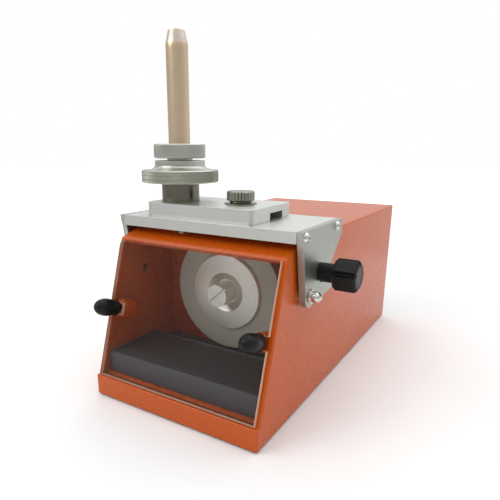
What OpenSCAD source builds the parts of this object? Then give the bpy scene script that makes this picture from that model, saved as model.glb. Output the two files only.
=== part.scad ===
/* [Housing] */
// Width of the sheet-metal housing
house_w = 188; // [184:1:196]
// Depth of the housing, front lip to rear edge
house_d = 394; // [384:1:420]
// Height of the housing above its bottom edge
house_h = 165.5; // [163:0.5:172]
// Height of the vertical lip under the window
lip_h = 20.5; // [18:0.5:24]
// Lean of the window back from vertical, in degrees
front_lean = 17.4; // [15:0.2:19]
// Thickness of the housing sheet
sheet_t = 2; // [1.5:0.5:2.5]
// Height of the housing's bottom edge above the bench
foot_gap = 2; // [1:0.5:4]

/* [Wheel] */
// Diameter of the diamond wheel
wheel_d = 125; // [115:1:126]
// Height of the wheel's axle above the housing's bottom edge
axle_h = 98; // [96:1:99]
// Distance from the front lip back to the grinding face
wheel_face = 101; // [100:0.5:104]

/* [Bracket] */
// Width of the bracket's top plate
plate_w = 193; // [192.5:0.5:196]
// Depth of the bracket's top plate
plate_d = 96; // [92:1:98]
// Thickness of the bracket's top plate
plate_t = 10.4; // [9:0.2:12]
// Thickness of each side plate
side_t = 6.2; // [5:0.2:8]
// Distance from the front lip back to the tilt pivot
pivot_in = 77.5; // [76:0.5:79]
// Height of the tilt pivot above the housing's bottom edge
pivot_h = 117; // [116:0.5:118]

/* [Carriage and holder] */
// Depth of the sliding carriage block
block_d = 80; // [77:1:81]
// Thickness of the carriage block
block_t = 13.5; // [12:0.5:15]
// Radius of the large knurled index flange
index_r = 39.7; // [37:0.1:41]
// Radius of the electrode tube
tube_r = 10.9; // [10:0.1:11]
// Diameter of the electrode that the collet takes
electrode_d = 3.2; // [1.6:0.8:3.2]

/* [Hidden] */
$fn = 64;

// Colours
orange = [0.80, 0.33, 0.14];
alu = [0.74, 0.75, 0.73];
steel = [0.62, 0.62, 0.60];
dark_steel = [0.33, 0.32, 0.30];
bronze = [0.72, 0.64, 0.54];
black = [0.07, 0.07, 0.07];
grey = [0.25, 0.26, 0.27];

// Clearances
run_gap = 0.05;
slide_gap = 0.1;
eps = 0.01;

// Housing profile
half_w = house_w / 2;
inner_w = half_w - sheet_t;
front_y = -house_d / 2;
rear_y = house_d / 2;
ledge = 4.5;
bend_h = house_h - 10;
bend_in = ledge + (bend_h - lip_h) * tan(front_lean);
crown_in = bend_in + 33.5;
floor_z = foot_gap + lip_h;
roof_z = foot_gap + house_h;
base_z = 8;
base_t = 2;
bulkhead_in = 125;

// Window
pane_half = 90;
pane_t = 4;
pane_len = 139;
pane_gap = 0.1;
opening_half = 88.5;
opening_top = 137;
notch_mid = 70;
notch_h = 12;
notch_depth = 17;
knob_x = 82;
lug_r = 9;
lug_t = 15;

// Bracket
plate_in = 56;
plate_z = roof_z + 1;
plate_top = plate_z + plate_t;
side_in = plate_w / 2;
side_out = side_in + side_t;
pivot_y = front_y + pivot_in;
pivot_z = foot_gap + pivot_h;
lock_arm = [22.1, 17.5];
lock_r = norm(lock_arm);
lock_angle = atan2(lock_arm[1], lock_arm[0]);
screw_ins = [6, 80];
tilt_max = 18;
stud_r = 3;

// Carriage and holder
holder_x = -55;
holder_y = front_y + 98;
travel = 12;
block_z = plate_top + slide_gap;
block_top = block_z + block_t;
block_left = -78;
block_right = 50;
block_front = front_y + 64;
block_corner = 14;
clamp_y = block_front + block_d / 2;
key_y = clamp_y + 8;
key_half = 13;
socket_r = 19.6;
socket_h = 18.2;
bush_r = 14;
spindle_r = 9;
nose_r = 6;
nose_z = plate_z - 12.5;
washer_t = 0.5;
flange_z = block_top + socket_h + washer_t;
flange_h = 12.8;
neck_z = flange_z + flange_h + 9;
neck_r = 25.9;
nut_r = 26.2;
nut_h = 14;
nut_z = neck_z + 2.2;
thread_r = 13;
thread_top = neck_z + 13;
clamp_x = 14.5;

// Wheel and motor
axle_z = foot_gap + axle_h;
wheel_r = wheel_d / 2;
hub_r = 41;
shaft_r = 9;
motor_r = 48;
ring_t = 5;
hub_proud = 3;

// Places a shape in the frame of the slanted front: x across, y up the slope, z outwards
module on_front() {
  translate([0, front_y + ledge, floor_z])
    rotate([90 - front_lean, 0, 0])
      children();
}

// A cylinder along +Y that starts at a distance behind the front lip
module along_y(start, r, len, x = 0, z = axle_z) {
  translate([x, front_y + start, z])
    rotate([-90, 0, 0])
      cylinder(r = r, h = len);
}

// A cylinder along +X at a place in the y-z plane
module along_x(start, r, len, y, z) {
  translate([start, y, z])
    rotate([0, 90, 0])
      cylinder(r = r, h = len);
}

// A straight slot along X, as the tool that cuts it
module slot_x(x0, x1, y, z, r, h) {
  for (x = [x0, x1])
    translate([x, y, z])
      cylinder(r = r, h = h);
  translate([x0, y - r, z])
    cube([x1 - x0, 2 * r, h]);
}

// A flat ring
module ring(outer, inner, h) {
  difference() {
    cylinder(r = outer, h = h);
    translate([0, 0, -1])
      cylinder(r = inner, h = h + 2);
  }
}

// Copies a right-hand shape to the left-hand side as well
module both_sides() {
  children();
  mirror([1, 0, 0])
    children();
}

// Extrudes a y-z outline along X, from x0 for a length
module extrude_x(x0, len) {
  translate([x0, 0, 0])
    rotate([90, 0, 90])
      linear_extrude(len)
        children();
}

// ---- Housing and base ----

function outer_profile() = [
  [0, 0], [0, lip_h], [ledge, lip_h], [bend_in, bend_h], [crown_in, house_h],
  [house_d, house_h], [house_d, 0]];

// The inner profile lies one sheet thickness inside the outer one
function inner_profile() =
  let (
    crown_slope = atan2(house_h - bend_h, crown_in - bend_in),
    wall_shift = sheet_t / cos(front_lean),
    roof_drop = sheet_t / cos(crown_slope),
    run = (roof_drop + wall_shift * tan(crown_slope)) / (1 / tan(front_lean) - tan(crown_slope))
  )
  [[sheet_t, -1], [sheet_t, lip_h - sheet_t],
   [ledge + wall_shift - sheet_t * tan(front_lean), lip_h - sheet_t],
   [bend_in + wall_shift - run, bend_h - run / tan(front_lean)],
   [crown_in + sheet_t * tan(crown_slope / 2), house_h - sheet_t],
   [house_d + 1, house_h - sheet_t], [house_d + 1, -1]];

module housing_shell() {
  color(orange)
    difference() {
      translate([0, front_y, foot_gap])
        extrude_x(-half_w, house_w)
          polygon(outer_profile());
      translate([0, front_y, foot_gap])
        extrude_x(-inner_w, 2 * inner_w)
          polygon(inner_profile());
      on_front()
        translate([-opening_half, eps, -8])
          cube([2 * opening_half, opening_top, 10]);
      translate([holder_x - travel - 12, front_y + 68, roof_z - 12])
        cube([2 * travel + 24, 42, 20]);
      both_sides()
        along_x(half_w - 5, 4, 10, pivot_y, pivot_z);
      along_x(half_w - 5, stud_r, 10, pivot_y + lock_arm[0], pivot_z + lock_arm[1]);
    }
}

foot_dx = 140;
foot_dy = 320;

module at_feet() {
  for (x = [-foot_dx / 2, foot_dx / 2], y = [-foot_dy / 2, foot_dy / 2])
    translate([x, y, 0])
      children();
}

module base_plate() {
  color(grey)
    difference() {
      translate([-inner_w, front_y + sheet_t, base_z])
        cube([2 * inner_w, house_d - 2 * sheet_t - 2, base_t]);
      at_feet()
        cylinder(r = 2.75, h = 20);
    }
}

module rubber_feet() {
  color(black)
    at_feet()
      difference() {
        cylinder(r1 = 10.5, r2 = 12, h = base_z);
        translate([0, 0, -1])
          cylinder(r = 2.75, h = base_z + 2);
      }
}

module chamber_floor() {
  color(orange)
    translate([-inner_w, front_y + 9, floor_z - sheet_t])
      cube([2 * inner_w, bulkhead_in - 9, sheet_t]);
}

module bulkhead() {
  color(orange)
    difference() {
      translate([-inner_w, front_y + bulkhead_in, base_z + base_t])
        cube([2 * inner_w, sheet_t, roof_z - sheet_t - base_z - base_t]);
      along_y(bulkhead_in - 1, 18, sheet_t + 2);
    }
}

module shaft_seal() {
  color(black)
    difference() {
      union() {
        along_y(bulkhead_in, 18, sheet_t);
        along_y(bulkhead_in - 2, 20, 2);
      }
      along_y(bulkhead_in - 3, shaft_r + run_gap, 8);
    }
}

module window_lugs() {
  color(orange)
    both_sides()
      on_front()
        translate([0, 0, -sheet_t - lug_t])
          difference() {
            union() {
              translate([knob_x, notch_mid, 0])
                cylinder(r = lug_r, h = lug_t);
              translate([knob_x, notch_mid - 6, 0])
                cube([inner_w - knob_x, 12, lug_t]);
            }
            translate([knob_x, notch_mid, -1])
              cylinder(r = 2.5 + run_gap, h = lug_t + 2);
          }
}

module pivot_bolts() {
  color(steel)
    both_sides() {
      along_x(half_w - sheet_t, 4, side_out + 0.2 - half_w + sheet_t, pivot_y, pivot_z);
      along_x(side_out + 0.2, 6.3, 1.6, pivot_y, pivot_z);
      along_x(side_out + 1.8, 5, 4, pivot_y, pivot_z);
      translate([side_out + 5.8, pivot_y, pivot_z])
        rotate([0, 90, 0])
          rotate_extrude()
            intersection() {
              circle(r = 5);
              square([6, 6]);
            }
    }
}

module pivot_spacers() {
  color(steel)
    both_sides()
      translate([half_w, pivot_y, pivot_z])
        rotate([0, 90, 0])
          ring(8, 4, side_in - half_w - slide_gap);
}

module tilt_lock_stud() {
  color(steel)
    translate([0, pivot_y + lock_arm[0], pivot_z + lock_arm[1]]) {
      along_x(half_w - sheet_t - 4, 6, 4, 0, 0);
      along_x(half_w - sheet_t, stud_r, 34, 0, 0);
    }
}

module rear_cover() {
  color(black)
    difference() {
      translate([-inner_w, rear_y - sheet_t - 2, base_z])
        cube([2 * inner_w, sheet_t, roof_z - sheet_t - base_z]);
      for (x = [-60:12:60], z = [95, 122])
        translate([x - 2, rear_y - 6, z])
          cube([4, 8, 20]);
      translate([32, rear_y - 6, 34])
        cube([28, 8, 21]);
      translate([-58, rear_y - 6, 34])
        cube([20, 8, 28]);
      for (x = [-80, 80], z = [26, 150])
        along_y(house_d - 6, 2, 8, x, z);
    }
}

module rear_cover_screws() {
  color(steel)
    for (x = [-80, 80], z = [26, 150]) {
      along_y(house_d - 12, 2, 10, x, z);
      along_y(house_d - 2, 4, 1.8, x, z);
    }
}

module power_inlet() {
  color(black)
    difference() {
      union() {
        translate([32, rear_y - 26, 34])
          cube([28, 24, 21]);
        translate([24, rear_y - 2, 31])
          cube([44, 2, 27]);
      }
      translate([34.5, rear_y - 16, 36.5])
        cube([23, 18, 16]);
    }
}

module switch_frame() {
  color(black)
    difference() {
      union() {
        translate([-58, rear_y - 22, 34])
          cube([20, 20, 28]);
        translate([-60, rear_y - 2, 32])
          cube([24, 1.8, 32]);
      }
      translate([-55, rear_y - 14, 37])
        cube([14, 20, 22]);
    }
}

// The rocker turns about X in the middle of its frame, and rests switched off
rocker_y = rear_y - 6;
rocker_z = 48;
rocker_rest = 12;

module switch_rocker() {
  color([0.6, 0.05, 0.04])
    translate([0, rocker_y, rocker_z])
      rotate([-rocker_rest, 0, 0])
        difference() {
          extrude_x(-54.5, 13)
            intersection() {
              circle(r = 9.6);
              translate([-4, -9.6])
                square([12, 19.2]);
            }
          along_x(-60, 8.5, 30, 14.5, 0);
        }
}

module terminal_block() {
  color([0.85, 0.85, 0.8])
    difference() {
      translate([50, front_y + 345, base_z + base_t])
        cube([34, 16, 14]);
      for (x = [57, 67, 77])
        translate([x, front_y + 353, base_z + base_t + 8])
          cylinder(r = 2, h = 10);
    }
}

module run_capacitor() {
  color(grey)
    translate([68, front_y + 200, base_z + base_t + 17])
      rotate([-90, 0, 0])
        cylinder(r = 17, h = 70);
}

// ---- Motor ----

module motor_body() {
  color([0.3, 0.32, 0.34])
    difference() {
      union() {
        along_y(152, motor_r - 4, 140);
        for (a = [0:15:345])
          translate([0, front_y + 152, axle_z])
            rotate([0, a, 0])
              translate([-1.2, 0, motor_r - 5])
                cube([2.4, 140, 4.9]);
      }
      along_y(151, 31, 142);
      along_y(151, 40, 13);
      along_y(280, 40, 13);
    }
}

module motor_front_bell() {
  color(alu)
    difference() {
      union() {
        along_y(bulkhead_in + sheet_t, 30, 10);
        along_y(bulkhead_in + sheet_t + 8, motor_r - 2, 17);
      }
      along_y(bulkhead_in, 12, 40);
      along_y(bulkhead_in + 12, 20, 15);
      along_y(bulkhead_in + 20, 36, 10);
    }
}

module motor_rear_bell() {
  color(alu)
    difference() {
      along_y(292, motor_r - 2, 20);
      along_y(291, 36, 8);
      along_y(291, 20, 17);
    }
}

module motor_bearings() {
  color(steel)
    for (start = [bulkhead_in + 12, 296])
      difference() {
        along_y(start, 20, 11);
        along_y(start - 1, shaft_r + run_gap, 13);
      }
}

module motor_saddles() {
  color(grey)
    for (start = [170, 258])
      difference() {
        translate([-38, front_y + start, base_z + base_t])
          cube([76, 14, 60]);
        along_y(start - 1, motor_r, 16);
      }
}

module rotor_core() {
  color(steel)
    difference() {
      along_y(172, 30, 98);
      along_y(171, shaft_r, 100);
    }
}

module rotor_shaft() {
  color(steel)
    difference() {
      along_y(wheel_face + ring_t, shaft_r, 306 - wheel_face - ring_t);
      along_y(wheel_face, 6, 20);
    }
}

// ---- Wheel ----

module backing_flange() {
  color(steel)
    difference() {
      along_y(wheel_face + ring_t + 7, 26, 6);
      along_y(wheel_face, shaft_r, 40);
    }
}

module wheel_body() {
  color(alu)
    difference() {
      along_y(wheel_face + ring_t, wheel_r, 7);
      along_y(wheel_face, shaft_r, 40);
    }
}

module diamond_ring() {
  color([0.45, 0.45, 0.40])
    difference() {
      along_y(wheel_face, wheel_r, ring_t);
      along_y(wheel_face - 1, hub_r, ring_t + 2);
    }
}

module hub_flange() {
  color([0.70, 0.69, 0.64])
    translate([0, front_y + wheel_face - hub_proud, axle_z])
      rotate([-90, 0, 0])
        rotate_extrude()
          polygon([[21, 0], [hub_r - 1.5, 0], [hub_r, 1.5], [hub_r, ring_t + hub_proud],
            [6, ring_t + hub_proud], [6, 5], [13, 5]]);
}

module hub_screw() {
  color([0.66, 0.65, 0.60])
    difference() {
      union() {
        along_y(wheel_face - 19, 11.4, 21);
        along_y(wheel_face + 2, 6, 18);
      }
      translate([0, front_y + wheel_face - 19, axle_z])
        rotate([0, -42, 0])
          translate([-15, -3, -1.1])
            cube([30, 6, 2.2]);
    }
}

// ---- Tilting bracket ----

module bracket_plate() {
  color(alu)
    difference() {
      translate([-side_in, front_y + plate_in, plate_z])
        cube([plate_w, plate_d, plate_t]);
      slot_x(holder_x - travel, holder_x + travel, holder_y, plate_z - 1, nose_r + 1.5, plate_t + 2);
      both_sides()
        for (in = screw_ins)
          along_x(side_in - 14, 2.5, 15, front_y + plate_in + in, plate_z + plate_t / 2);
    }
}

// One side plate's outline, measured from the front lip and the housing's bottom edge
module side_outline() {
  top = house_h + 1 + plate_t;
  rear = plate_in + plate_d;
  polygon([[plate_in, top], [rear, top], [rear, pivot_h + 46], [rear - 25, pivot_h + 21],
    [rear - 25, pivot_h + 4], [rear - 18, pivot_h - 5], [pivot_in + 1, pivot_h - 10],
    [pivot_in - 10, pivot_h - 1]]);
}

// Curved slot round the pivot, which clears the tilt stud over the whole tilt
module lock_slot() {
  low = lock_angle - tilt_max - 1;
  high = lock_angle + 1;
  intersection() {
    difference() {
      circle(r = lock_r + stud_r + 0.6);
      circle(r = lock_r - stud_r - 0.6);
    }
    polygon([[0, 0], [40 * cos(low), 40 * sin(low)], [40 * cos(high), 40 * sin(high)]]);
  }
  for (a = [low, high])
    translate([lock_r * cos(a), lock_r * sin(a)])
      circle(r = stud_r + 0.3);
}

module side_plate(locked) {
  color(alu)
    difference() {
      union() {
        translate([0, front_y, foot_gap])
          extrude_x(side_in, side_t)
            side_outline();
        along_x(side_in, 10.5, side_t, pivot_y, pivot_z);
      }
      along_x(side_in - 1, 4 + run_gap, side_t + 2, pivot_y, pivot_z);
      for (in = screw_ins)
        along_x(side_in - 1, 2.5, side_t + 2, front_y + plate_in + in, plate_z + plate_t / 2);
      if (locked)
        translate([0, pivot_y, pivot_z])
          extrude_x(side_in - 1, side_t + 2)
            lock_slot();
    }
}

module side_plate_right() {
  side_plate(true);
}

module side_plate_left() {
  mirror([1, 0, 0])
    side_plate(false);
}

module bracket_screws() {
  color(steel)
    both_sides()
      for (in = screw_ins)
        difference() {
          translate([0, front_y + plate_in + in, plate_z + plate_t / 2]) {
            along_x(side_in - 13, 2.5, side_t + 13, 0, 0);
            translate([side_out, 0, 0])
              rotate([0, 90, 0])
                rotate_extrude()
                  intersection() {
                    translate([0, -1.33])
                      circle(r = 4.93);
                    square([4.75, 3.6]);
                  }
          }
          translate([side_out + 1.6, front_y + plate_in + in, plate_z + plate_t / 2])
            rotate([0, 90, 0])
              cylinder(r = 1.6, h = 4, $fn = 6);
        }
}

module guide_key() {
  color(steel)
    translate([-18, key_y - key_half, plate_top])
      cube([36, 2 * key_half, 6.4]);
}

// ---- Carriage ----

// The block's outline: rounded at the left, and chamfered at the right
module block_outline() {
  rear = block_front + block_d;
  difference() {
    translate([block_left, block_front])
      square([block_right - block_left, block_d]);
    translate([block_left - 1, block_front - 1])
      square(block_corner + 1);
    translate([block_left - 1, rear - block_corner])
      square(block_corner + 1);
    for (y = [block_front, rear])
      translate([block_right, y])
        rotate(45)
          square(4, center = true);
  }
  for (y = [block_front + block_corner, rear - block_corner])
    translate([block_left + block_corner, y])
      circle(r = block_corner);
}

module carriage_block() {
  color(alu)
    difference() {
      translate([0, 0, block_z])
        linear_extrude(block_t)
          block_outline();
      translate([-34, key_y - key_half - slide_gap, block_z - 1])
        cube([90, 2 * (key_half + slide_gap), 8]);
      translate([holder_x, holder_y, block_z - 1])
        cylinder(r = bush_r, h = 30);
      translate([clamp_x, clamp_y, block_z])
        cylinder(r = 3 + run_gap, h = 30);
    }
}

module holder_socket() {
  color(dark_steel)
    translate([holder_x, holder_y, block_top])
      ring(socket_r, bush_r, socket_h);
}

module guide_bush() {
  color([0.7, 0.55, 0.3])
    translate([holder_x, holder_y, block_z])
      ring(bush_r, spindle_r + run_gap, block_t + socket_h);
}

module clamp_washer() {
  color(steel)
    translate([clamp_x, clamp_y, block_top])
      ring(16, 3 + run_gap, 1);
}

module clamp_knob() {
  color(steel)
    translate([clamp_x, clamp_y, block_top + 1 + slide_gap]) {
      difference() {
        cylinder(r = 13.9, h = 11.5);
        for (a = [0:15:345])
          rotate([0, 0, a])
            translate([14.4, 0, 1.5])
              cylinder(r = 1.1, h = 12);
      }
      translate([0, 0, -8])
        cylinder(r = 3, h = 8);
    }
}

// ---- Electrode holder ----

module thrust_washer() {
  color(bronze)
    translate([holder_x, holder_y, block_top + socket_h])
      ring(18, spindle_r + run_gap, washer_t - slide_gap);
}

// The spindle carries the collet, and its threaded boss takes the nut
module spindle() {
  color(steel)
    translate([holder_x, holder_y, 0])
      rotate_extrude()
        polygon([[4, nose_z], [nose_r, nose_z], [nose_r, block_z + 0.4],
          [spindle_r, block_z + 0.4], [spindle_r, neck_z], [thread_r, neck_z],
          [thread_r, thread_top], [4, thread_top]]);
}

// Half section of the index flange: a rim, and a cove up to the neck
function index_section() = concat(
  [[spindle_r, flange_z], [index_r - 1, flange_z], [index_r, flange_z + 1],
   [index_r, flange_z + flange_h - 1], [index_r - 1, flange_z + flange_h],
   [index_r - 4.5, flange_z + flange_h]],
  [for (a = [0:15:90]) [neck_r + 9 - 9 * sin(a), flange_z + flange_h + 4.5 - 4.5 * cos(a)]],
  [[neck_r, neck_z], [spindle_r, neck_z]]);

module index_flange() {
  color([0.75, 0.75, 0.74])
    translate([holder_x, holder_y, 0])
      difference() {
        rotate_extrude($fn = 96)
          polygon(index_section());
        for (a = [38, 218])
          rotate([0, 0, a])
            translate([-20, 23.7, neck_z - 4])
              cube([40, 20, 10]);
      }
}

module collet_nut() {
  color([0.70, 0.70, 0.69])
    translate([holder_x, holder_y, nut_z])
      difference() {
        cylinder(r = nut_r, h = nut_h);
        translate([0, 0, -1])
          cylinder(r = thread_r + run_gap, h = nut_h - 1);
        cylinder(r = tube_r + 0.3, h = nut_h + 1);
      }
}

tube_top = nut_z + nut_h + 104.3;

module electrode_tube() {
  color(bronze)
    translate([holder_x, holder_y, 0])
      rotate_extrude()
        polygon([[4, thread_top], [tube_r, thread_top], [tube_r, tube_top - 12],
          [tube_r - 0.5, tube_top - 11], [8.1, tube_top - 0.5], [7.6, tube_top],
          [4, tube_top]]);
}

module collet() {
  color(dark_steel)
    translate([holder_x, holder_y, nose_z])
      ring(4, electrode_d / 2 + run_gap, 60);
}

// ---- Tilt lock knob ----

module tilt_knob() {
  color(black)
    translate([side_out + slide_gap, pivot_y + lock_arm[0], pivot_z + lock_arm[1]])
      rotate([0, 90, 0])
        difference() {
          union() {
            cylinder(r = 8.8, h = 15.2);
            translate([0, 0, 14.2])
              cylinder(r = 12, h = 22);
            for (a = [0:72:288])
              rotate([0, 0, a + 3])
                translate([9, 0, 15.2])
                  cylinder(r = 5.8, h = 20);
          }
          translate([0, 0, -1])
            cylinder(r = stud_r + run_gap, h = 24.5);
        }
}

// ---- Window ----

module window_pane() {
  color([0.45, 0.32, 0.30, 0.35])
    on_front()
      difference() {
        translate([-pane_half, 0.3, pane_gap])
          cube([2 * pane_half, pane_len - 0.3, pane_t]);
        translate([-pane_half, pane_len, 0])
          rotate([0, 0, 45])
            cube([6, 6, 20], center = true);
        both_sides()
          translate([pane_half - notch_depth, notch_mid - notch_h / 2, -1])
            cube([30, notch_h, pane_t + 2]);
      }
}

// Egg-shaped knob with a fluted skirt and a screw stud
module window_knob(side) {
  color(black)
    on_front()
      translate([side * knob_x, notch_mid, 0]) {
        translate([0, 0, -sheet_t - lug_t - 4])
          cylinder(r = 2.5, h = pane_t + sheet_t + lug_t + 5);
        translate([0, 0, pane_gap + pane_t + slide_gap])
          rotate_extrude()
            polygon(concat([[0, 0], [7.4, 0]],
              [for (a = [-35:5:90]) [8.75 * cos(a), 14.5 + (a < 0 ? 20 : 12.5) * sin(a)]]));
      }
}

module window_knob_left() {
  window_knob(-1);
}

module window_knob_right() {
  window_knob(1);
}

// ---- Tray ----

tray_half = 87;
tray_in = 14;
tray_step = 82;
tray_rear = 121;
tray_z = floor_z + 0.3;
tray_top = foot_gap + 43;
sump_top = tray_z + 8;

module drip_tray() {
  color(grey)
    difference() {
      union() {
        translate([-tray_half, front_y + tray_in, tray_z])
          cube([2 * tray_half, tray_step - tray_in, tray_top - tray_z]);
        translate([-tray_half, front_y + tray_step - 1, tray_z])
          cube([2 * tray_half, tray_rear - tray_step + 1, sump_top - tray_z]);
      }
      translate([-tray_half + 2, front_y + tray_in + 2, tray_z + 2])
        cube([2 * tray_half - 4, tray_step - tray_in - 4, 50]);
      translate([-tray_half + 2, front_y + tray_step, tray_z + 2])
        cube([2 * tray_half - 4, tray_rear - tray_step - 2, 50]);
    }
}

module filter_pad() {
  color([0.18, 0.2, 0.21])
    translate([-tray_half + 2.3, front_y + tray_in + 2.3, tray_z + 2])
      cube([2 * tray_half - 4.6, tray_step - tray_in - 4.6, tray_top - tray_z - 3]);
}

housing_shell();
base_plate();
rubber_feet();
chamber_floor();
bulkhead();
shaft_seal();
window_lugs();
pivot_bolts();
pivot_spacers();
tilt_lock_stud();
motor_body();
motor_front_bell();
motor_rear_bell();
motor_saddles();
motor_bearings();
run_capacitor();
terminal_block();
rear_cover();
rear_cover_screws();
power_inlet();
switch_frame();
switch_rocker();
rotor_shaft();
rotor_core();
backing_flange();
wheel_body();
diamond_ring();
hub_flange();
hub_screw();
bracket_plate();
side_plate_right();
side_plate_left();
bracket_screws();
guide_key();
carriage_block();
holder_socket();
guide_bush();
clamp_washer();
clamp_knob();
thrust_washer();
spindle();
index_flange();
electrode_tube();
collet();
collet_nut();
tilt_knob();
window_pane();
window_knob_left();
window_knob_right();
drip_tray();
filter_pad();
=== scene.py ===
"""Looks of a bench wet grinder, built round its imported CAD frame. Lengths are in metres."""
import math

import bmesh
import bpy
from mathutils import Matrix, Vector, noise


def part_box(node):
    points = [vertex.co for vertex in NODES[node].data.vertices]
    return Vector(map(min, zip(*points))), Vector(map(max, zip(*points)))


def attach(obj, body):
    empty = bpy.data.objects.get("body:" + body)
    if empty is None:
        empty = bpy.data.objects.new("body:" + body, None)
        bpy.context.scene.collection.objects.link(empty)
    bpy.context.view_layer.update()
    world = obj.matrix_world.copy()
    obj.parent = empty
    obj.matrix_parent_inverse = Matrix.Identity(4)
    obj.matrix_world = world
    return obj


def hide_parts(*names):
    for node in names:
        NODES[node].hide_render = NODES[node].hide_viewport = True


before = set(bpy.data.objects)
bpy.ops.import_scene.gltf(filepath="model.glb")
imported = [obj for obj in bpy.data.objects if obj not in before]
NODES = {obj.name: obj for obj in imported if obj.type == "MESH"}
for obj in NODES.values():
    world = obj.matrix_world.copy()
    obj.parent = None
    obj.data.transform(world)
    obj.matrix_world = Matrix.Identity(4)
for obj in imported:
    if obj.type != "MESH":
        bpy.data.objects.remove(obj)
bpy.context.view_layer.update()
MM = 0.001
TURN = 2 * math.pi

# Housing sheet, measured from its front lip and its bottom edge
SHEET = 2 * MM
LIP_H = 20.5 * MM
LEDGE = 4.5 * MM
LEAN = math.radians(17.4)
BEND_DROP = 10 * MM
CROWN_RUN = 33.5 * MM
WINDOW_HALF = 88.5 * MM
WINDOW_LOW = 0.01 * MM
WINDOW_TOP = 137 * MM

# Window knobs: distance from the middle, distance up the slope, and height of their feet off it
KNOB_ACROSS = 82 * MM
KNOB_UP = 70 * MM
KNOB_FOOT = 4.2 * MM

house_low, house_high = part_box("housing_shell")
# From (across, up the slope, out of the slope) to the row frame
FRONT = Matrix.Translation((0, house_low.y + LEDGE, house_low.z + LIP_H)) @ Matrix.Rotation(
    math.pi / 2 - LEAN, 4, "X"
)


# ---- Camera, light and floor ----


def make_camera():
    """The photograph's viewing angle, found from the object's straight edges."""
    yaw, pitch, roll = 0.56108, 0.27792, 0.0007
    forward = Vector(
        (-math.sin(yaw) * math.cos(pitch), math.cos(yaw) * math.cos(pitch), -math.sin(pitch))
    )
    right = Vector((math.cos(yaw), math.sin(yaw), 0))
    turn = Matrix.Rotation(roll, 3, -forward)
    right = turn @ right
    up = right.cross(forward)
    data = bpy.data.cameras.new("camera")
    data.sensor_width = 36
    data.lens = 33.146
    data.shift_x = 0.04
    data.shift_y = 0.06
    data.clip_start = 0.01
    data.clip_end = 20
    camera = bpy.data.objects.new("camera", data)
    bpy.context.scene.collection.objects.link(camera)
    camera.matrix_world = Matrix.Translation((0.24906, -0.48591, 0.24458)) @ Matrix(
        (right, up, -forward)
    ).transposed().to_4x4()
    bpy.context.scene.camera = camera


def make_world():
    """A studio: brighter overhead and behind than in front, and white in the picture."""
    world = bpy.data.worlds.new("studio")
    bpy.context.scene.world = world
    world.use_nodes = True
    nodes, links = world.node_tree.nodes, world.node_tree.links
    nodes.clear()
    coords = nodes.new("ShaderNodeTexCoord")
    split = nodes.new("ShaderNodeSeparateXYZ")
    links.new(coords.outputs["Generated"], split.inputs[0])
    height = nodes.new("ShaderNodeMapRange")
    height.inputs["From Min"].default_value = -1
    links.new(split.outputs["Z"], height.inputs["Value"])
    ramp = nodes.new("ShaderNodeValToRGB")
    horizon, zenith = ramp.color_ramp.elements
    horizon.position = 0.46
    horizon.color = (0.42, 0.42, 0.42, 1)
    zenith.position = 0.88
    zenith.color = (0.74, 0.74, 0.74, 1)
    ramp.color_ramp.elements.new(0.64).color = (0.36, 0.36, 0.365, 1)
    links.new(height.outputs["Result"], ramp.inputs[0])
    behind = nodes.new("ShaderNodeMapRange")
    behind.interpolation_type = "SMOOTHSTEP"
    dim_until, bright_from, dim, bright = -0.2, 0.9, 1.3, 2.05
    for socket, number in zip(behind.inputs[1:5], (dim_until, bright_from, dim, bright)):
        socket.default_value = number
    links.new(split.outputs["Y"], behind.inputs["Value"])
    soft = nodes.new("ShaderNodeBackground")
    links.new(ramp.outputs["Color"], soft.inputs["Color"])
    links.new(behind.outputs["Result"], soft.inputs["Strength"])
    white = nodes.new("ShaderNodeBackground")
    white.inputs["Color"].default_value = (1, 1, 1, 1)
    path = nodes.new("ShaderNodeLightPath")
    mix = nodes.new("ShaderNodeMixShader")
    links.new(path.outputs["Is Camera Ray"], mix.inputs[0])
    links.new(soft.outputs[0], mix.inputs[1])
    links.new(white.outputs[0], mix.inputs[2])
    output = nodes.new("ShaderNodeOutputWorld")
    links.new(mix.outputs[0], output.inputs[0])


def area_light(name, place, target, size, power):
    data = bpy.data.lights.new(name, "AREA")
    data.shape = "RECTANGLE"
    data.size, data.size_y = size
    data.energy = power
    light = bpy.data.objects.new(name, data)
    bpy.context.scene.collection.objects.link(light)
    light.location = place
    light.rotation_euler = (Vector(target) - Vector(place)).to_track_quat("-Z", "Y").to_euler()


def floor_paint():
    """Pale paper, which brightens towards white far from the object."""
    paint = Paint("floor_paint", (0.90, 0.90, 0.90), roughness=0.8, Emission_Color=(1, 1, 1, 1))
    paint.tint(paint.noise(9, 3), (0.89, 0.89, 0.885), (0.91, 0.91, 0.91))
    reach = paint.node("ShaderNodeVectorMath", Vector=paint.coords)
    reach.operation = "LENGTH"
    glow = paint.band(reach.outputs["Value"], 0.45, 1.8, 0, 0.45)
    paint.links.new(glow, paint.shader.inputs["Emission Strength"])
    return paint.material


def floor_ring(name, inner, outer, material, sides=64):
    bm = bmesh.new()
    circles = []
    for radius in (inner, outer):
        turns = [TURN * k / sides for k in range(sides)]
        spots = [(radius * math.cos(a), radius * math.sin(a), 0) for a in turns]
        circles.append([bm.verts.new(spot) for spot in spots])
    for k in range(sides):
        n = (k + 1) % sides
        bm.faces.new((circles[0][k], circles[0][n], circles[1][n], circles[1][k]))
    if inner < 0.001:
        bmesh.ops.remove_doubles(bm, verts=bm.verts, dist=0.001)
    mesh = bpy.data.meshes.new(name)
    bm.to_mesh(mesh)
    bm.free()
    mesh.materials.append(material)
    floor = bpy.data.objects.new(name, mesh)
    bpy.context.scene.collection.objects.link(floor)
    return floor


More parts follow.
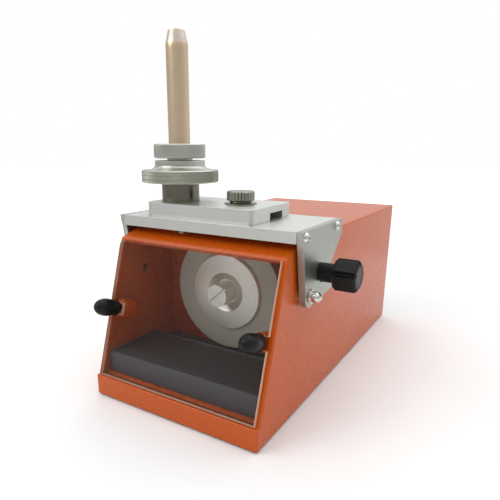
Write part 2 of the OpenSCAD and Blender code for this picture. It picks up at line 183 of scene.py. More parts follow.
def make_stage():
    """A paper disc under the object, and a wider floor that shiny surfaces don't mirror."""
    paint = floor_paint()
    paper_edge = 0.62
    floor_ring("paper", 0.0001, paper_edge, paint)
    wide = floor_ring("floor", paper_edge, 9, paint)
    wide.visible_glossy = False
    middle = (0, -0.05, 0.15)
    area_light("key", (-0.80, -1.05, 1.15), middle, (0.9, 0.7), 7)
    area_light("top", (0.1, 0.35, 1.5), middle, (1.9, 1.9), 6)
    bpy.context.scene.view_settings.view_transform = "Standard"


# ---- Materials ----


class Paint:
    """A Principled material that grows its own texture nodes."""

    def __init__(self, name, color, roughness=0.5, metallic=0.0, **sockets):
        self.material = bpy.data.materials.new(name)
        self.material.use_nodes = True
        self.nodes = self.material.node_tree.nodes
        self.links = self.material.node_tree.links
        self.shader = self.nodes["Principled BSDF"]
        self.shader.inputs["Base Color"].default_value = (*color, 1)
        self.shader.inputs["Roughness"].default_value = roughness
        self.shader.inputs["Metallic"].default_value = metallic
        for socket, value in sockets.items():
            self.shader.inputs[socket.replace("_", " ")].default_value = value
        self.coords = self.nodes.new("ShaderNodeTexCoord").outputs["Object"]
        self.height = None

    def node(self, kind, **inputs):
        made = self.nodes.new(kind)
        for name, value in inputs.items():
            self.feed(made.inputs[name.replace("_", " ")], value)
        return made

    def feed(self, socket, value):
        if isinstance(value, bpy.types.NodeSocket):
            self.links.new(value, socket)
        else:
            socket.default_value = value

    def math(self, operation, a, b=0.0):
        made = self.nodes.new("ShaderNodeMath")
        made.operation = operation
        self.feed(made.inputs[0], a)
        self.feed(made.inputs[1], b)
        return made.outputs[0]

    def stretched(self, scale):
        made = self.node("ShaderNodeMapping", Vector=self.coords)
        made.inputs["Scale"].default_value = scale
        return made.outputs[0]

    def noise(self, scale, detail=4, stretch=None):
        vector = self.stretched(stretch) if stretch else self.coords
        return self.node(
            "ShaderNodeTexNoise", Vector=vector, Scale=float(scale), Detail=float(detail)
        ).outputs[0]

    def cells(self, scale):
        return self.node("ShaderNodeTexVoronoi", Vector=self.coords, Scale=float(scale)).outputs[0]

    def band(self, value, low, high, to_low, to_high):
        made = self.node("ShaderNodeMapRange", Value=value)
        for socket, number in zip(made.inputs[1:5], (low, high, to_low, to_high)):
            socket.default_value = number
        return made.outputs[0]

    def blend(self, factor, a, b):
        made = self.nodes.new("ShaderNodeMix")
        made.data_type = "RGBA"
        self.feed(made.inputs[0], factor)
        for socket, color in ((made.inputs[6], a), (made.inputs[7], b)):
            if isinstance(color, tuple):
                color = (*color[:3], 1)
            self.feed(socket, color)
        return made.outputs[2]

    def tint(self, factor, a, b):
        self.links.new(self.blend(factor, a, b), self.shader.inputs["Base Color"])

    def shine(self, factor, low, high):
        """Roughness runs from low to high over the middle of a noise."""
        self.links.new(self.band(factor, 0.3, 0.7, low, high), self.shader.inputs["Roughness"])

    def bump(self, height, depth, strength=1.0):
        """Adds relief of that depth, on top of any there already."""
        made = self.node("ShaderNodeBump", Height=height)
        made.inputs["Strength"].default_value = strength
        made.inputs["Distance"].default_value = depth
        if self.height is not None:
            self.links.new(self.height, made.inputs["Normal"])
        self.height = made.outputs[0]
        self.links.new(self.height, self.shader.inputs["Normal"])

    def rings(self, centre, axis, pitch):
        """Concentric tool marks round an axis through centre, 0 to 1."""
        moved = self.node("ShaderNodeVectorMath", Vector=self.coords)
        moved.operation = "SUBTRACT"
        moved.inputs[1].default_value = centre
        flat = self.nodes.new("ShaderNodeVectorMath")
        flat.operation = "MULTIPLY"
        self.links.new(moved.outputs[0], flat.inputs[0])
        flat.inputs[1].default_value = [0.0 if i == axis else 1.0 for i in range(3)]
        length = self.nodes.new("ShaderNodeVectorMath")
        length.operation = "LENGTH"
        self.links.new(flat.outputs[0], length.inputs[0])
        radius = length.outputs["Value"]
        wave = self.math("SINE", self.math("MULTIPLY", radius, TURN / pitch))
        broad = self.math("SINE", self.math("MULTIPLY", radius, TURN / (pitch * 3.7)))
        return self.band(self.math("ADD", wave, broad), -2, 2, 0, 1)


def orange_paint():
    paint = Paint("orange_powder_coat", (0.51, 0.083, 0.004), 0.27)
    paint.shader.inputs["Specular IOR Level"].default_value = 0.34
    paint.tint(paint.noise(14, 3), (0.50, 0.080, 0.0035), (0.52, 0.086, 0.0045))
    paint.shine(paint.noise(90, 2), 0.265, 0.285)
    paint.bump(paint.noise(700, 2), 0.002 * MM, 0.15)
    return paint.material


def satin_aluminium(name="satin_aluminium", color=(0.68, 0.695, 0.655)):
    paint = Paint(name, color, 0.38, 0.95)
    paint.tint(paint.noise(22, 4), tuple(c * 0.96 for c in color), tuple(c * 1.04 for c in color))
    paint.shine(paint.noise(180, 6, (1, 1, 0.3)), 0.34, 0.42)
    paint.bump(paint.noise(2600, 2), 0.004 * MM, 0.4)
    return paint.material


def cast_aluminium():
    paint = Paint("cast_aluminium", (0.50, 0.51, 0.50), 0.55, 1.0)
    paint.tint(paint.noise(40, 5), (0.44, 0.45, 0.44), (0.56, 0.57, 0.56))
    paint.bump(paint.noise(900, 5), 0.15 * MM, 0.6)
    return paint.material


def turned_metal(name, color, centre, axis, roughness=0.28, pitch=0.9 * MM):
    """Metal with concentric tool marks, and a little cloud in its colour and gloss."""
    paint = Paint(name, color, roughness, 1.0)
    dark = tuple(c * 0.86 for c in color)
    light = tuple(min(1.0, c * 1.08) for c in color)
    paint.tint(paint.noise(70, 4), dark, light)
    paint.shine(paint.noise(150, 4), roughness * 0.85, roughness * 1.2)
    paint.bump(paint.rings(centre, axis, pitch), 0.004 * MM, 0.4)
    return paint.material


def polished_steel():
    paint = Paint("polished_steel", (0.66, 0.66, 0.62), 0.12, 1.0)
    paint.tint(paint.noise(300, 4), (0.62, 0.62, 0.58), (0.70, 0.70, 0.66))
    paint.shine(paint.noise(900, 5), 0.08, 0.16)
    return paint.material


def knurl_steel(name, color):
    paint = Paint(name, color, 0.36, 1.0)
    paint.tint(paint.noise(60, 4), tuple(c * 0.94 for c in color), tuple(c * 1.05 for c in color))
    paint.shine(paint.noise(300, 4), 0.32, 0.40)
    return paint.material


def champagne_tube():
    """Anodised tube: soft champagne with faint warm and cool bands along its length."""
    paint = Paint("champagne_tube", (0.66, 0.51, 0.345), 0.36, 0.9)
    cloud = paint.noise(26, 3, (1, 1, 0.35))
    paint.tint(cloud, (0.63, 0.50, 0.33), (0.70, 0.53, 0.38))
    paint.shine(paint.noise(400, 4, (1, 1, 0.1)), 0.33, 0.40)
    paint.bump(paint.noise(1500, 3, (1, 1, 4)), 0.008 * MM, 0.5)
    return paint.material


def black_plastic():
    gloss = 0.34
    paint = Paint("black_plastic", (0.007, 0.007, 0.007), gloss)
    paint.shader.inputs["Specular IOR Level"].default_value = 0.20
    paint.tint(paint.noise(90, 4), (0.005, 0.005, 0.005), (0.010, 0.010, 0.010))
    paint.shine(paint.noise(450, 5), gloss * 0.85, gloss * 1.25)
    paint.bump(paint.noise(1800, 3), 0.01 * MM, 0.2)
    return paint.material


def rubber():
    paint = Paint("rubber", (0.02, 0.02, 0.02), 0.82)
    paint.tint(paint.noise(120, 5), (0.015, 0.015, 0.015), (0.032, 0.031, 0.030))
    paint.bump(paint.noise(2200, 4), 0.06 * MM, 0.6)
    return paint.material


def painted_steel(name, color, roughness=0.5):
    paint = Paint(name, color, roughness)
    paint.tint(paint.noise(45, 5), tuple(c * 0.85 for c in color), tuple(c * 1.2 for c in color))
    paint.shine(paint.noise(300, 4), roughness * 0.85, roughness * 1.15)
    paint.bump(paint.noise(1300, 4), 0.05 * MM, 0.45)
    return paint.material


def tinted_sheet():
    """Smoke-brown acrylic: a light film over what lies behind it, with a gloss."""
    paint = Paint("tinted_acrylic", (0.075, 0.040, 0.032), 0.06, Alpha=0.115)
    paint.shader.inputs["Specular IOR Level"].default_value = 0.9
    paint.tint(paint.noise(18, 3), (0.070, 0.037, 0.030), (0.080, 0.044, 0.036))
    paint.shine(paint.noise(240, 4), 0.04, 0.10)
    return paint.material


def acrylic_edge_painted_highlight():
    """The sheet's sawn and flame-polished edge, coloured bright as a painted highlight for the light
    it gathers.
    """
    paint = Paint("acrylic_edge_painted_highlight", (0.62, 0.36, 0.24), 0.35)
    paint.tint(paint.noise(160, 4), (0.54, 0.30, 0.20), (0.70, 0.44, 0.30))
    paint.bump(paint.noise(1500, 3), 0.03 * MM, 0.4)
    return paint.material


def diamond_grit():
    paint = Paint("diamond_grit", (0.54, 0.545, 0.455), 0.60, 0.1)
    speck = paint.cells(1500)
    paint.tint(paint.band(speck, 0.1, 0.55, 0, 1), (0.60, 0.605, 0.505), (0.48, 0.485, 0.405))
    paint.shine(paint.noise(900, 4), 0.50, 0.70)
    paint.bump(speck, 0.05 * MM, 0.4)
    return paint.material


def machined_hub(centre):
    """Faced aluminium, whose fine turning marks spread highlights into wedges."""
    paint = Paint("machined_hub", (0.94, 0.93, 0.84), 0.34, 0.55, Anisotropic=0.7)
    paint.tint(paint.rings(centre, 1, 2.6 * MM), (0.92, 0.91, 0.82), (0.96, 0.95, 0.86))
    paint.shine(paint.noise(120, 4), 0.31, 0.38)
    paint.bump(paint.rings(centre, 1, 1.3 * MM), 0.004 * MM, 0.3)
    tangent = paint.nodes.new("ShaderNodeTangent")
    tangent.direction_type = "RADIAL"
    tangent.axis = "Y"
    paint.links.new(tangent.outputs[0], paint.shader.inputs["Tangent"])
    return paint.material


def tray_plastic():
    paint = Paint("tray_plastic", (0.058, 0.066, 0.078), 0.50)
    paint.tint(paint.noise(60, 5), (0.052, 0.059, 0.070), (0.065, 0.073, 0.086))
    paint.shine(paint.noise(350, 4), 0.46, 0.66)
    paint.bump(paint.cells(1400), 0.05 * MM, 0.5)
    return paint.material


def filter_foam():
    paint = Paint("filter_foam", (0.020, 0.022, 0.025), 0.80)
    pore = paint.cells(1500)
    paint.tint(paint.band(pore, 0.05, 0.5, 0, 1), (0.013, 0.015, 0.018), (0.024, 0.027, 0.031))
    paint.bump(pore, 0.15 * MM, 0.5)
    paint.bump(paint.noise(300, 4), 0.15 * MM, 0.4)
    return paint.material


def moulded_plastic(name, color, roughness=0.4):
    paint = Paint(name, color, roughness)
    paint.tint(paint.noise(80, 4), tuple(c * 0.9 for c in color), color)
    paint.shine(paint.noise(400, 4), roughness * 0.8, roughness * 1.2)
    paint.bump(paint.noise(1500, 3), 0.03 * MM, 0.4)
    return paint.material


def centre_of(node):
    low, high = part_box(node)
    return (low + high) / 2


# ---- Mesh tools ----


def sharpen(bm, angle):
    """Marks edges sharper than the angle, so that the rest shade smooth."""
    for face in bm.faces:
        face.smooth = True
    for edge in bm.edges:
        edge.smooth = len(edge.link_faces) == 2 and edge.calc_face_angle(0) < angle


def add_piece(name, bm, body, materials, replaced=None, sharp=math.radians(32)):
    """Turns a bmesh in the row frame into a piece that rides on a body."""
    bmesh.ops.recalc_face_normals(bm, faces=bm.faces)
    sharpen(bm, sharp)
    mesh = bpy.data.meshes.new(name)
    bm.to_mesh(mesh)
    bm.free()
    for material in materials:
        mesh.materials.append(material)
    piece = bpy.data.objects.new(name, mesh)
    bpy.context.scene.collection.objects.link(piece)
    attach(piece, body)
    if replaced:
        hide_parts(replaced)
    return piece


def soften(piece, width, segments=2, angle=35):
    """Breaks the sharp edges of a piece by a small bevel."""
    bevel = piece.modifiers.new("bevel", "BEVEL")
    bevel.width = width
    bevel.segments = segments
    bevel.limit_method = "ANGLE"
    bevel.angle_limit = math.radians(angle)
    even = piece.modifiers.new("even", "WEIGHTED_NORMAL")
    even.keep_sharp = True


def dress(node, material, width=0.3 * MM, segments=2):
    """Gives a CAD node its material and breaks its edges."""
    piece = NODES[node]
    piece.data.materials.clear()
    piece.data.materials.append(material)
    weld = piece.modifiers.new("weld", "WELD")
    weld.merge_threshold = 0.002 * MM
    flat = piece.modifiers.new("flat", "DECIMATE")
    flat.decimate_type = "DISSOLVE"
    flat.angle_limit = math.radians(0.4)
    soften(piece, width, segments)


def lathe(profile, segments, shape=None, closed=True):
    """Revolves (radius, height) points about Z. shape(radius, height, angle) may change a radius.
    A closed profile goes round a section; an open one runs from pole to pole."""
    bm = bmesh.new()
    rings = []
    for radius, height in profile:
        if radius < 1e-6:
            rings.append([bm.verts.new((0, 0, height))])
            continue
        ring = []
        for k in range(segments):
            angle = TURN * k / segments
            r = shape(radius, height, angle) if shape else radius
            ring.append(bm.verts.new((r * math.cos(angle), r * math.sin(angle), height)))
        rings.append(ring)
    pairs = list(zip(rings, rings[1:] + rings[:1]))
    for low, high in pairs if closed else pairs[:-1]:
        for k in range(segments):
            n = (k + 1) % segments
            corners = [low[k % len(low)], low[n % len(low)], high[n % len(high)], high[k % len(high)]]
            corners = list(dict.fromkeys(corners))
            if len(corners) > 2:
                bm.faces.new(corners)
    return bm


def arc(centre, radius, start, stop, steps):
    """Points of an arc in degrees, as (u, v) pairs."""
    turns = [math.radians(start + (stop - start) * k / steps) for k in range(steps + 1)]
    return [(centre[0] + radius * math.cos(a), centre[1] + radius * math.sin(a)) for a in turns]


def prism(outline, low, high):
    """Extrudes an outline of (u, v) points along W from low to high."""
    bm = bmesh.new()
    bottom = [bm.verts.new((u, v, low)) for u, v in outline]
    top = [bm.verts.new((u, v, high)) for u, v in outline]
    bm.faces.new(bottom[::-1])
    bm.faces.new(top)
    for k in range(len(outline)):
        n = (k + 1) % len(outline)
        bm.faces.new((bottom[k], bottom[n], top[n], top[k]))
    return bm


def block(low, high):
    bm = bmesh.new()
    bmesh.ops.create_cube(bm, size=1)
    for vert in bm.verts:
        for i in range(3):
            vert.co[i] = low[i] if vert.co[i] < 0 else high[i]
    return bm


def spare_object(name, bm):
    mesh = bpy.data.meshes.new(name)
    bmesh.ops.recalc_face_normals(bm, faces=bm.faces)
    bm.to_mesh(mesh)
    bm.free()
    made = bpy.data.objects.new(name, mesh)
    bpy.context.scene.collection.objects.link(made)
    return made


def carve(solid, cutters):
    """The bmesh of a solid with the cutters taken away."""
    target = spare_object("target", solid)
    tools = [spare_object("tool", bm) for bm in cutters]
    for tool in tools:
        cut = target.modifiers.new("cut", "BOOLEAN")
        cut.operation = "DIFFERENCE"
        cut.solver = "EXACT"
        cut.object = tool
    bpy.context.view_layer.update()
    graph = bpy.context.evaluated_depsgraph_get()
    result = bmesh.new()
    result.from_mesh(target.evaluated_get(graph).to_mesh())
    for spare in [target, *tools]:
        bpy.data.objects.remove(spare)
    return result


# ---- Housing ----


def side_profile(inset, past):
    """The housing's side outline as (y, z), moved in by a sheet's thickness, open ends moved out."""
    slope = math.atan2(BEND_DROP, CROWN_RUN)
    y, z = house_low.y, house_low.z
    lip_z = z + LIP_H
    bend_z = house_high.z - BEND_DROP
    bend_y = y + LEDGE + (bend_z - lip_z) * math.tan(LEAN)
    wall = inset / math.cos(LEAN)
    drop = inset / math.cos(slope)
    run = (drop + wall * math.tan(slope)) / (1 / math.tan(LEAN) - math.tan(slope))
    return [
        (y + inset, z - past),
        (y + inset, lip_z - inset),
        (y + LEDGE + wall - inset * math.tan(LEAN), lip_z - inset),
        (bend_y + wall - (run if inset else 0), bend_z - (run / math.tan(LEAN) if inset else 0)),
        (bend_y + CROWN_RUN + inset * math.tan(slope / 2), house_high.z - inset),
        (house_high.y + past, house_high.z - inset),
        (house_high.y + past, z - past),
    ]


def along_x(bm):
    """Turns a prism of (y, z) outline, extruded along W, so that W lies along X."""
    bmesh.ops.transform(
        bm, matrix=Matrix(((0, 0, 1, 0), (1, 0, 0, 0), (0, 1, 0, 0), (0, 0, 0, 1))), verts=bm.verts
    )
    return bm


def hole_x(centre, radius, low, high):
    return along_x(prism(arc(centre, radius, 0, 360, 40)[:-1], low, high))


def build_housing(material):
    """One folded sheet: round bends, the window opening, and the roof opening under the bracket."""
    half = house_high.x
    outer = along_x(prism(side_profile(0, 0), -half, half))
    folds = [
        edge
        for edge in outer.edges
        if not all(abs(v.co.z - house_low.z) < 1e-6 for v in edge.verts)
        and not all(abs(v.co.y - house_high.y) < 1e-6 for v in edge.verts)
    ]
    bmesh.ops.bevel(
        outer, geom=folds, offset=2.0 * MM, segments=5, profile=0.5, affect="EDGES",
        clamp_overlap=True,
    )
    inner = along_x(prism(side_profile(SHEET, MM), -half + SHEET, half - SHEET))
    window = block((-WINDOW_HALF, WINDOW_LOW, -8 * MM), (WINDOW_HALF, WINDOW_TOP, 4 * MM))
    bmesh.ops.transform(window, matrix=FRONT, verts=window.verts)
    nose = centre_of("spindle")
    roof = block(
        (nose.x - 24 * MM, house_low.y + 68 * MM, house_high.z - 12 * MM),
        (nose.x + 24 * MM, house_low.y + 110 * MM, house_high.z + 8 * MM),
    )
    pivot = centre_of("pivot_bolts")
    lock = centre_of("tilt_lock_stud")
    holes = [
        hole_x((pivot.y, pivot.z), 4.05 * MM, -half - MM, half + MM),
        hole_x((lock.y, lock.z), 3.05 * MM, half - 5 * MM, half + MM),
    ]
    shell = carve(outer, [inner, window, roof, *holes])
    piece = add_piece("housing", shell, "root", [material], "housing_shell")
    soften(piece, 0.35 * MM, 2, 40)


# ---- Window ----


def pane_outline():
    """The sheet's outline up the slope: a notch on each side, and a rounder corner at top left."""
    half, bottom, top = 90 * MM, 0.3 * MM, 139 * MM
    notch_low, notch_high, notch_in = 64 * MM, 76 * MM, 73 * MM
    rounding = 2 * MM

    def side(corner):
        points = [(half, bottom), (half, notch_low), (notch_in + rounding, notch_low)]
        points += arc((notch_in + rounding, notch_low + rounding), rounding, 270, 180, 4)[1:]
        points += arc((notch_in + rounding, notch_high - rounding), rounding, 180, 90, 4)
        points += [(half, notch_high)]
        return points + arc((half - corner, top - corner), corner, 0, 90, 8)

    right_corner, left_corner = 1 * MM, 5 * MM
    return side(right_corner) + [(-u, v) for u, v in reversed(side(left_corner))]


def build_pane(face, edge):
    bm = prism(pane_outline(), 0.1 * MM, 4.1 * MM)
    # The sheet's sawn sides take the edge material, whose bright colour is a painted highlight.
    for side in bm.faces:
        side.material_index = 0 if len(side.verts) > 4 else 1
    rim = [e for e in bm.edges if {f.material_index for f in e.link_faces} == {0, 1}]
    bmesh.ops.bevel(
        bm, geom=rim, offset=0.35 * MM, segments=2, profile=0.5, affect="EDGES", material=1
    )
    bmesh.ops.transform(bm, matrix=FRONT, verts=bm.verts)
    add_piece("window_sheet", bm, "window", [face, edge], "window_pane")


def build_window_knob(side, material):
    """A faceted egg-shaped grip, with a serrated skirt at its foot."""
    name = "left" if side < 0 else "right"
    facets, teeth_round = 14, 26
    foot = KNOB_FOOT
    middle = foot + 14.5 * MM
    egg = [(0, -9 * MM), (2.5 * MM, -9 * MM), (2.5 * MM, foot + MM)]
    for k in range(29):
        a = math.radians(-35 + 125 * k / 28)
        reach = 20 * MM if a < 0 else 12.5 * MM
        egg.append((8.75 * MM * math.cos(a), middle + reach * math.sin(a)))
    egg[-1] = (0, egg[-1][1])

    def serrated(radius, height, angle):
        depth = 0.9 * MM if radius > 6 * MM else 0
        return radius - depth * saw(teeth_round * angle / TURN)

    skirt = [(2.6 * MM, foot), (7.4 * MM, foot), (8.1 * MM, foot + 0.6 * MM)]
    skirt += [(8.1 * MM, foot + 2.6 * MM), (7.3 * MM, foot + 3.6 * MM), (2.6 * MM, foot + 3.6 * MM)]
    bm = lathe(egg, facets, closed=False)
    teeth = bpy.data.meshes.new("teeth")
    ring = lathe(skirt, 4 * teeth_round, serrated)
    ring.to_mesh(teeth)
    ring.free()
    bm.from_mesh(teeth)
    bpy.data.meshes.remove(teeth)
    spot = Matrix.Translation((side * KNOB_ACROSS, KNOB_UP, 0))
    bmesh.ops.transform(bm, matrix=FRONT @ spot, verts=bm.verts)
    piece = add_piece(
        f"{name}_egg_knob", bm, f"{name}_window_knob", [material],
        f"window_knob_{name}", math.radians(20),
    )
    soften(piece, 0.35 * MM, 2, 20)


# ---- Holder ----


def saw(x):
    """A triangle wave of period 1, from 0 to 1."""
    return abs(2 * (x - math.floor(x)) - 1)


def rows(low, high, count):
    return [low + (high - low) * k / count for k in range(count + 1)]


def stand_at(bm, node):
    """Moves a lathed piece onto the vertical axis of a CAD node."""
    middle = centre_of(node)
    bmesh.ops.translate(bm, vec=(middle.x, middle.y, 0), verts=bm.verts)
    return bm


def build_index_flange(material, rim_shade_material):
    """The broad flange: a diamond-knurled rim, a cove and a neck with two spanner flats."""
    low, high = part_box("index_flange")
    rim, bore, neck = (high.x - low.x) / 2, 9 * MM, 25.9 * MM
    rim_top = low.z + 12.8 * MM
    knurl_low, knurl_high = low.z + 1.2 * MM, rim_top - 1.2 * MM
    diamonds, diamond_depth = 110, 0.6 * MM
    pitch = TURN * rim / diamonds
    flat_turn, flat_reach = math.radians(38), 23.7 * MM
    profile = [(bore, low.z), (rim - 1.4 * MM, low.z), (rim - 0.35 * MM, low.z + MM)]
    profile += [(rim, z) for z in rows(knurl_low, knurl_high, 30)]
    profile += [(rim - 0.35 * MM, rim_top - MM), (rim - 1.4 * MM, rim_top)]
    profile += [(rim - 4.5 * MM, rim_top)]
    for k in range(13):
        a = math.radians(90 * k / 12)
        profile.append((neck + 9 * MM * (1 - math.sin(a)), rim_top + 4.5 * MM * (1 - math.cos(a))))
    profile += [(neck, high.z - 4 * MM), (neck, high.z - 0.6 * MM), (neck - 0.6 * MM, high.z)]
    profile += [(bore, high.z)]

    def knurled(radius, height, angle):
        if radius > rim - 1e-7 and knurl_low <= height <= knurl_high:
            around, rise = angle * rim / pitch, height / pitch
            return radius - diamond_depth * max(saw(around + rise), saw(around - rise)) ** 1.3
        return radius

    bm = lathe(profile, 10 * diamonds, knurled)
    # Faces on the knurled rim take the second, darker material, painted shade for the knurl's
    # hollows.
    for face in bm.faces:
        spot = face.calc_center_median()
        on_rim = knurl_low < spot.z < knurl_high and spot.xy.length > rim - 2 * MM
        face.material_index = int(on_rim)
    flat = Vector((math.sin(flat_turn), -math.cos(flat_turn)))
    for vert in bm.verts:
        reach = vert.co.xy.dot(flat)
        if vert.co.z > high.z - 4.001 * MM and abs(reach) > flat_reach:
            vert.co.xy -= flat * (reach - math.copysign(flat_reach, reach))
    stand_at(bm, "index_flange")
    add_piece(
        "index_ring", bm, "holder", [material, rim_shade_material], "index_flange"
    )


def build_collet_nut(material):
    """A straight-knurled nut with a chamfer at each end."""
    low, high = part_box("collet_nut")
    rim = (high.x - low.x) / 2
    thread, bore = 13.05 * MM, 11.2 * MM
    teeth, tooth_depth = 150, 0.4 * MM
    profile = [(thread, low.z), (rim - 1.2 * MM, low.z), (rim - 0.3 * MM, low.z + 0.9 * MM)]
    profile += [(rim, low.z + 1.3 * MM), (rim, high.z - 1.3 * MM)]
    profile += [(rim - 0.3 * MM, high.z - 0.9 * MM), (rim - 1.2 * MM, high.z)]
    profile += [(bore + 0.8 * MM, high.z), (bore, high.z - 0.8 * MM)]
    profile += [(bore, high.z - 2 * MM), (thread, high.z - 2 * MM)]

    def knurled(radius, height, angle):
        if radius > rim - 1e-7:
            return radius - tooth_depth * saw(teeth * angle / TURN)
        return radius

    bm = stand_at(lathe(profile, teeth * 4, knurled), "collet_nut")
    add_piece("knurled_nut", bm, "chuck_nut", [material], "collet_nut")


def build_clamp_knob(material):
    """A small thumb nut: a grooved rim over a plain skirt, on its screw."""
    low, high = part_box("clamp_knob")
    rim = (high.x - low.x) / 2
    foot = high.z - 11.5 * MM
    thread, grooves, groove_depth = 3 * MM, 26, 1.0 * MM
    profile = [(0, low.z), (thread, low.z), (thread, foot), (rim - 3.4 * MM, foot)]
    profile += [(rim - 3.0 * MM, foot + 1.6 * MM), (rim - 0.6 * MM, foot + 2.2 * MM)]
    profile += [(rim, foot + 2.9 * MM), (rim, high.z - 1.1 * MM), (rim - MM, high.z - 0.1 * MM)]
    profile += [(rim - 2 * MM, high.z), (rim - 3 * MM, high.z - 0.3 * MM), (0, high.z - 0.3 * MM)]

    def fluted(radius, height, angle):
        if radius < rim - 1.1 * MM or height < foot + 2 * MM:
            return radius
        groove = max(0.0, 1 - saw(grooves * angle / TURN + 0.5) * 2.6)
        return radius - groove_depth * groove

    bm = stand_at(lathe(profile, grooves * 14, fluted, closed=False), "clamp_knob")
    add_piece("thumb_knob", bm, "carriage_clamp", [material], "clamp_knob")


def build_tube(body_material, tip_material):
    """The electrode tube, with a bright turned cone at its top."""
    low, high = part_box("electrode_tube")
    radius, bore = (high.x - low.x) / 2, 4 * MM
    profile = [(bore, low.z), (radius, low.z)]
    profile += [(radius, z) for z in rows(low.z + MM, high.z - 12 * MM, 20)]
    cone = high.z - 11.2 * MM
    profile += [(radius - 0.3 * MM, cone), (8.3 * MM, high.z - 0.8 * MM)]
    profile += [(8.0 * MM, high.z - 0.2 * MM), (7.6 * MM, high.z), (bore + 0.4 * MM, high.z)]
    profile += [(bore, high.z - 0.4 * MM)]
    bm = stand_at(lathe(profile, 128), "electrode_tube")
    for face in bm.faces:
        face.material_index = int(face.calc_center_median().z > cone)
    add_piece(
        "holder_tube", bm, "holder", [body_material, tip_material],
        "electrode_tube",
    )


# ---- Tilt knob ----


def star_outline(reach, valley, phase):
    """Five square-ended lobes as (u, v) points. Angles are in degrees."""
    lobes = 5
    corners = ((-25, reach), (25, reach), (32.5, valley), (39.5, valley))
    turns = [(phase + 360 / lobes * n + angle, r) for n in range(lobes) for angle, r in corners]
    return [(r * math.cos(math.radians(a)), r * math.sin(math.radians(a))) for a, r in turns]


def build_tilt_knob(material):
    """A five-lobed star grip on a round boss, its axis along X."""
    low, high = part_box("tilt_knob")
    head, tip = 14.2 * MM, high.x - low.x
    boss, stud, depth = 8.8 * MM, 3.05 * MM, 22 * MM
    profile = [(0, depth), (stud, depth), (stud, 0), (boss - 0.6 * MM, 0), (boss, 0.6 * MM)]
    profile += [(boss, head + MM), (0, head + MM)]
    bm = lathe(profile, 64, closed=False)
    layers = [(0.84, head), (0.94, head + 0.7 * MM), (1.0, head + 2.2 * MM), (1.0, tip - 3.4 * MM)]
    layers += [(0.95, tip - 1.3 * MM), (0.86, tip - 0.4 * MM), (0.72, tip), (0.60, tip - 0.5 * MM)]
    outline = star_outline(14.8 * MM, 11.4 * MM, 219)
    stack = [[bm.verts.new((u * k, v * k, z)) for u, v in outline] for k, z in layers]
    for below, above in zip(stack, stack[1:]):
        for k in range(len(outline)):
            n = (k + 1) % len(outline)
            bm.faces.new((below[k], below[n], above[n], above[k]))
    bm.faces.new(stack[0][::-1])
    bm.faces.new(stack[-1])
    middle = centre_of("tilt_lock_stud")
    spot = Matrix.Translation((low.x, middle.y, middle.z)) @ Matrix.Rotation(math.pi / 2, 4, "Y")
    bmesh.ops.transform(bm, matrix=spot, verts=bm.verts)
    piece = add_piece("star_knob", bm, "tilt_lock", [material], "tilt_knob")
    soften(piece, 0.7 * MM, 3, 18)


# ---- Tray and inlet ----


def build_filter_pad(material):
    """Open-cell foam: a block with round edges and an uneven top."""
    low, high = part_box("filter_pad")
    bm = block(low, high)
    bmesh.ops.bevel(
        bm, geom=bm.edges[:], offset=2 * MM, segments=3, profile=0.5, affect="EDGES"
    )
    bmesh.ops.subdivide_edges(
        bm, edges=[e for e in bm.edges if e.calc_length() > 12 * MM], cuts=44, use_grid_fill=True
    )
    bm.normal_update()
    for vert in bm.verts:
        wave = noise.noise(vert.co * 60) * 0.5 + noise.noise(vert.co * 200) * 0.15
        vert.co -= vert.normal * (0.3 + wave * 0.4) * MM * 0.5
    add_piece("foam_pad", bm, "tray", [material], "filter_pad")


def build_inlet_pins(material):
    """The three flat pins inside the mains inlet."""
    low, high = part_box("power_inlet")
    middle = (low + high) / 2
    half = Vector((1.0 * MM, 7.9 * MM, 2.0 * MM))
    bm = bmesh.new()
    for across, rise in ((-7, -2), (7, -2), (0, 3)):
        centre = Vector((middle.x + across * MM, high.y - 8 * MM, middle.z + rise * MM))
        pin = block(centre - half, centre + half)
        mesh = bpy.data.meshes.new("pin")
        pin.to_mesh(mesh)
        pin.free()
        bm.from_mesh(mesh)
        bpy.data.meshes.remove(mesh)
    piece = add_piece("inlet_pins", bm, "root", [material])
    soften(piece, 0.5 * MM, 2)


# ---- Everything ----


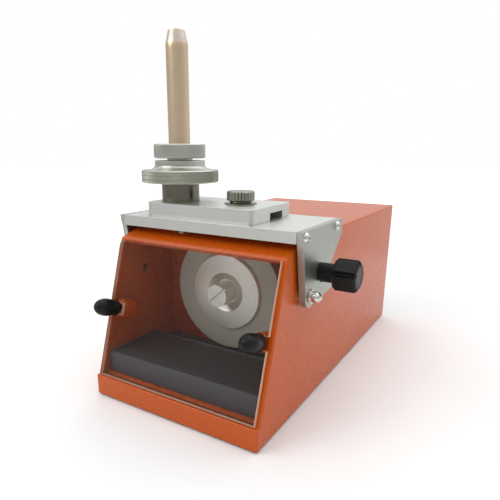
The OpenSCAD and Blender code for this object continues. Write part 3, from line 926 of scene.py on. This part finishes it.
def dress_nodes():
    """Materials for the CAD nodes that stay as they are."""
    paint, satin, cast = orange_paint(), satin_aluminium(), cast_aluminium()
    # A darker copy of the satin aluminium for the upright side plates: painted shade, for the less
    # light they catch than the top plates.
    shaded_satin = satin_aluminium("side_plate_shaded_aluminium", (0.40, 0.41, 0.375))
    polished, plastic = polished_steel(), black_plastic()
    black_metal = painted_steel("black_powder_coat", (0.030, 0.030, 0.031), 0.5)
    motor = painted_steel("motor_enamel", (0.085, 0.095, 0.105), 0.38)
    axle = centre_of("rotor_shaft")
    holder = centre_of("spindle")
    steel = turned_metal("turned_steel", (0.58, 0.58, 0.56), axle, 1)
    hub = machined_hub(axle)
    screw = turned_metal("turned_screw", (0.74, 0.74, 0.67), axle, 1, 0.34)
    spindle = turned_metal("turned_spindle", (0.42, 0.42, 0.40), holder, 2, 0.24)
    socket = turned_metal("dark_socket", (0.19, 0.178, 0.14), holder, 2, 0.22)
    bronze = turned_metal("bronze", (0.50, 0.34, 0.15), holder, 2, 0.35)
    knurl = knurl_steel("knurled_steel", (0.52, 0.525, 0.475))
    # A darker copy of the knurled steel: painted shade for the shadow in the hollows of the knurled
    # rim and the grooved thumb knob.
    rim = knurl_steel("knurled_rim_shaded", (0.33, 0.34, 0.28))

    for node in ("window_lugs", "chamber_floor", "bulkhead"):
        dress(node, paint, 0.4 * MM)
    for node in ("bracket_plate", "carriage_block"):
        dress(node, satin, 0.45 * MM, 3)
    # The upright side plates get the darker aluminium copy, painted shade.
    for node in ("side_plate_right", "side_plate_left"):
        dress(node, shaded_satin, 0.45 * MM, 3)
    for node in ("motor_front_bell", "motor_rear_bell", "run_capacitor"):
        dress(node, cast, 0.6 * MM)
    for node in ("pivot_bolts", "pivot_spacers", "bracket_screws", "rear_cover_screws"):
        dress(node, polished, 0.2 * MM, 3)
    dress("tilt_lock_stud", polished, 0.15 * MM)
    # The washer's dark socket steel is partly its own dark metal and partly painted shade for the
    # shadow line under the thumb knob's skirt.
    dress("clamp_washer", socket, 0.15 * MM)
    for node in ("base_plate", "rear_cover", "motor_saddles"):
        dress(node, black_metal, 0.3 * MM)
    for node in ("power_inlet", "switch_frame"):
        dress(node, plastic, 0.5 * MM, 3)
    for node in ("rotor_shaft", "backing_flange", "motor_bearings", "guide_key"):
        dress(node, steel, 0.25 * MM)
    for node in ("guide_bush", "thrust_washer"):
        dress(node, bronze, 0.08 * MM)
    dress("rubber_feet", rubber(), 0.8 * MM, 3)
    dress("shaft_seal", rubber(), 0.4 * MM)
    dress("motor_body", motor, 0.3 * MM)
    dress("rotor_core", painted_steel("rotor_laminate", (0.16, 0.15, 0.14), 0.45), 0.4 * MM)
    dress("wheel_body", satin, 0.3 * MM)
    dress("diamond_ring", diamond_grit(), 0.4 * MM, 3)
    dress("hub_flange", hub, 0.3 * MM, 3)
    dress("hub_screw", screw, 0.3 * MM, 3)
    dress("spindle", spindle, 0.2 * MM)
    dress("collet", socket, 0.1 * MM)
    dress("holder_socket", socket, 0.4 * MM, 3)
    dress("terminal_block", moulded_plastic("cream_plastic", (0.62, 0.59, 0.48)), 0.5 * MM)
    dress("switch_rocker", moulded_plastic("red_plastic", (0.45, 0.015, 0.010), 0.3), 0.5 * MM, 3)
    dress("drip_tray", tray_plastic(), 0.7 * MM, 3)

    build_housing(paint)
    build_pane(tinted_sheet(), acrylic_edge_painted_highlight())
    for side in (-1, 1):
        build_window_knob(side, plastic)
    build_index_flange(knurl, rim)
    build_collet_nut(knurl)
    # The thumb knob takes the darker knurled steel too, painted shade for its grooves.
    build_clamp_knob(rim)
    build_tube(champagne_tube(), turned_metal("bright_cone", (0.60, 0.53, 0.46), holder, 2, 0.42))
    build_tilt_knob(plastic)
    build_filter_pad(filter_foam())
    build_inlet_pins(bronze)


make_camera()
make_world()
make_stage()
dress_nodes()
